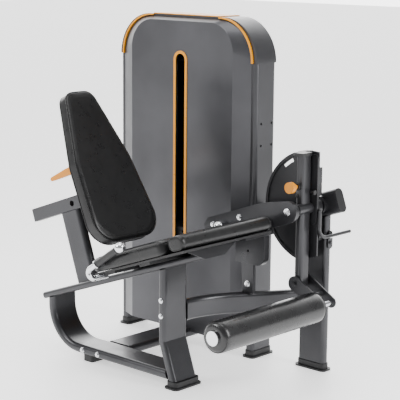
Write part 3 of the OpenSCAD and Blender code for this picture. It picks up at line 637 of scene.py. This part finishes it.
pad_loop = hull_outline([(s * x, y, r) for s in (-1, 1) for x, y, r in BACK_CIRCLES])
backrest = pad_body("backrest_foam_pad", pad_loop, BACK_LEVELS, on_back)
inflate(backrest, 0.004, 0.0035, lambda c: to_back(c).x < BACK_HELD_BEHIND)
finish_piece(backrest, "backrest", MAT["vinyl"], "black_vinyl", "backrest_pad")


def add_piping(name, obj, loop, body, radius, lift):
    path = relaxed(snapped(surface_of(obj), loop, lift), 3)
    finish_piece(tube_object(name, [path], radius, 10, True), body, MAT["piping"], "black_vinyl")


def add_stitches(name, obj, loop, body):
    rows = stitches(name, surface_of(obj), loop, STITCH_EVERY, STITCH_LENGTH, STITCH_RADIUS)
    finish_piece(rows, body, MAT["thread"], "black_vinyl")


front_edge = [on_back(p.x, p.y, -0.008) for p in inset(pad_loop, 0.001)]
add_piping("backrest_front_piping", backrest, front_edge, "backrest", 0.0028, 0.0010)
rear_edge = [on_back(p.x, p.y, -0.052) for p in pad_loop]
add_piping("backrest_rear_piping", backrest, rear_edge, "backrest", 0.0022, 0.0006)
add_stitches("backrest_stitches", backrest,
             [on_back(p.x, p.y, 0.0) for p in inset(pad_loop, 0.016)], "backrest")

seat_edge = [on_rail(p.x, p.y, 0.069) for p in inset(seat_loop, 0.003)]
add_piping("seat_top_piping", seat, seat_edge, "frame", 0.0026, 0.0008)
add_stitches("seat_stitches", seat,
             [on_rail(p.x, p.y, 0.085) for p in inset(seat_loop, 0.022)], "frame")

bolster_end = inset(bolster_loop, 0.005)
for name, at in (("near", -0.262), ("far", 0.262)):
    add_piping("bolster_%s_end_piping" % name, bolster,
               [bolster_place(p.x, p.y, at) for p in bolster_end], "frame", 0.0022, 0.0006)

# ---- Ankle roller ----

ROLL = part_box("roller_pad")
axis_at = (ROLL[0] + ROLL[1]) / 2
near, far = ROLL[0].y, ROLL[1].y
R = (ROLL[1].z - ROLL[0].z) / 2
length = far - near
end_profile = [(0.004, 0.0185), (0.0015, 0.022), (0.001, 0.030), (0.0015, R - 0.020),
               (0.003, R - 0.0145), (0.0065, R - 0.0085), (0.012, R - 0.0040),
               (0.020, R - 0.0014), (0.030, R - 0.0004)]
body_profile = [(length * t, R - 0.0004 + 0.0003 * math.sin(math.pi * t))
                for t in (0.1, 0.2, 0.3, 0.4, 0.5, 0.6, 0.7, 0.8, 0.9)]
profile = end_profile + body_profile + [(length - a, r) for a, r in reversed(end_profile)]
roller = lathe("ankle_roller_foam", profile, (axis_at.x, near, axis_at.z), (0, 1, 0), 128)
finish_piece(roller, "roller", MAT["roller"], "roller_vinyl", "roller_pad")
SEAM_IN = 0.0105              # how far the end seams lie from the roller's ends
seam_r = R - 0.0042
ring_paths = [[Vector((axis_at.x + seam_r * math.cos(t), near + at, axis_at.z + seam_r * math.sin(t)))
               for t in circle_steps(96)] for at in (SEAM_IN, length - SEAM_IN)]
finish_piece(tube_object("roller_end_seams", ring_paths, 0.0016, 8, True),
             "roller", MAT["piping"], "roller_vinyl")
skin_x = axis_at.x - (R - 0.0003) * 0.94
skin_z = axis_at.z - (R - 0.0003) * 0.342
seam = [Vector((skin_x, near + mix(0.012, length - 0.012, k / 30.0), skin_z)) for k in range(31)]
finish_piece(tube_object("roller_skin_seam", [seam], 0.0009, 6),
             "roller", MAT["piping"], "roller_vinyl")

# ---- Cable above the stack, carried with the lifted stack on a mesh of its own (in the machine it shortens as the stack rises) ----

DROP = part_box("stack_cable")
drop_x, drop_y = (DROP[0].x + DROP[1].x) / 2, (DROP[0].y + DROP[1].y) / 2
drop_path = [Vector((drop_x, drop_y, mix(DROP[0].z, DROP[1].z, k / 40.0))) for k in range(41)]
drop = tube_object("stack_cable_drop", [drop_path], (DROP[1].x - DROP[0].x) / 2, 16)
finish_piece(drop, "lifted_stack", MAT["cable"], "cable_black", "stack_cable")
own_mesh(drop)

# ---- Camera, floor and light ----

CAMERA_AT = (3.895, -4.079, 1.805)
FOCAL_MM, SENSOR_MM = 120.6, 36.0
AZ, PITCH, ROLLED = math.radians(42.6), math.radians(10.8), math.radians(0.49)
forward = Vector((-math.sin(AZ) * math.cos(PITCH), math.cos(AZ) * math.cos(PITCH), -math.sin(PITCH)))
level = Vector((math.cos(AZ), math.sin(AZ), 0.0))
upward = level.cross(forward)
right = level * math.cos(ROLLED) + upward * math.sin(ROLLED)
up = upward * math.cos(ROLLED) - level * math.sin(ROLLED)
camera_data = bpy.data.cameras.new("camera")
camera_data.lens = FOCAL_MM
camera_data.sensor_width = SENSOR_MM
camera_data.clip_end = 60.0
camera = bpy.data.objects.new("camera", camera_data)
scene.collection.objects.link(camera)
camera.matrix_world = Matrix((
    (right.x, up.x, -forward.x, CAMERA_AT[0]),
    (right.y, up.y, -forward.y, CAMERA_AT[1]),
    (right.z, up.z, -forward.z, CAMERA_AT[2]),
    (0.0, 0.0, 0.0, 1.0)))
scene.camera = camera

bm = bmesh.new()
bmesh.ops.create_grid(bm, x_segments=2, y_segments=2, size=30.0)
floor = from_bmesh("studio_floor", bm, False)
floor_mat = Nodes("pale_floor")
floor_mat.set(Roughness=0.5, Emission_Color=(1.0, 1.0, 1.0, 1.0), Emission_Strength=0.95)
floor_mat.colour(floor_mat.ramp(floor_mat.noise(0.8, 2.0), [(0.3, (0.88, 0.88, 0.88)),
                                                            (0.7, (0.91, 0.91, 0.91))]))
wear(floor, floor_mat.mat)

# White light from behind the machine, much brighter than from the rest of the studio.
# BACKLIGHT maps facing from 0.25 up to 0.92 onto strength from 0.42 up to 5
BACKLIGHT = (0.25, 0.92, 0.42, 5.0)
world = bpy.data.worlds.new("studio_world")
scene.world = world
world.use_nodes = True
tree = world.node_tree
direction = tree.nodes.new("ShaderNodeTexCoord").outputs["Generated"]
facing = tree.nodes.new("ShaderNodeVectorMath")
facing.operation = "DOT_PRODUCT"
tree.links.new(direction, facing.inputs[0])
facing.inputs[1].default_value = (forward.x, forward.y, 0.0)
strength = tree.nodes.new("ShaderNodeMapRange")
strength.interpolation_type = "SMOOTHSTEP"
for i, v in enumerate(BACKLIGHT):
    strength.inputs[i + 1].default_value = v
tree.links.new(facing.outputs["Value"], strength.inputs[0])
tree.links.new(strength.outputs[0], tree.nodes["Background"].inputs["Strength"])
tree.nodes["Background"].inputs["Color"].default_value = (1.0, 1.0, 1.0, 1.0)


def area_light(name, at, look, size, power):
    data = bpy.data.lights.new(name, "AREA")
    data.shape = "RECTANGLE"
    data.size, data.size_y = size
    data.energy = power
    obj = bpy.data.objects.new(name, data)
    scene.collection.objects.link(obj)
    obj.location = at
    obj.rotation_euler = (Vector(look) - Vector(at)).to_track_quat("-Z", "Y").to_euler()


# Name, place, what it points at, size in metres, watts
area_light("key_light", (-2.2, -3.6, 3.4), (0.0, 0.0, 0.7), (2.0, 2.4), 150.0)
area_light("side_light", (3.6, 0.6, 2.2), (0.2, 0.1, 0.7), (1.2, 2.6), 110.0)
area_light("top_light", (0.2, -0.8, 4.0), (0.0, 0.0, 0.5), (2.6, 2.6), 80.0)
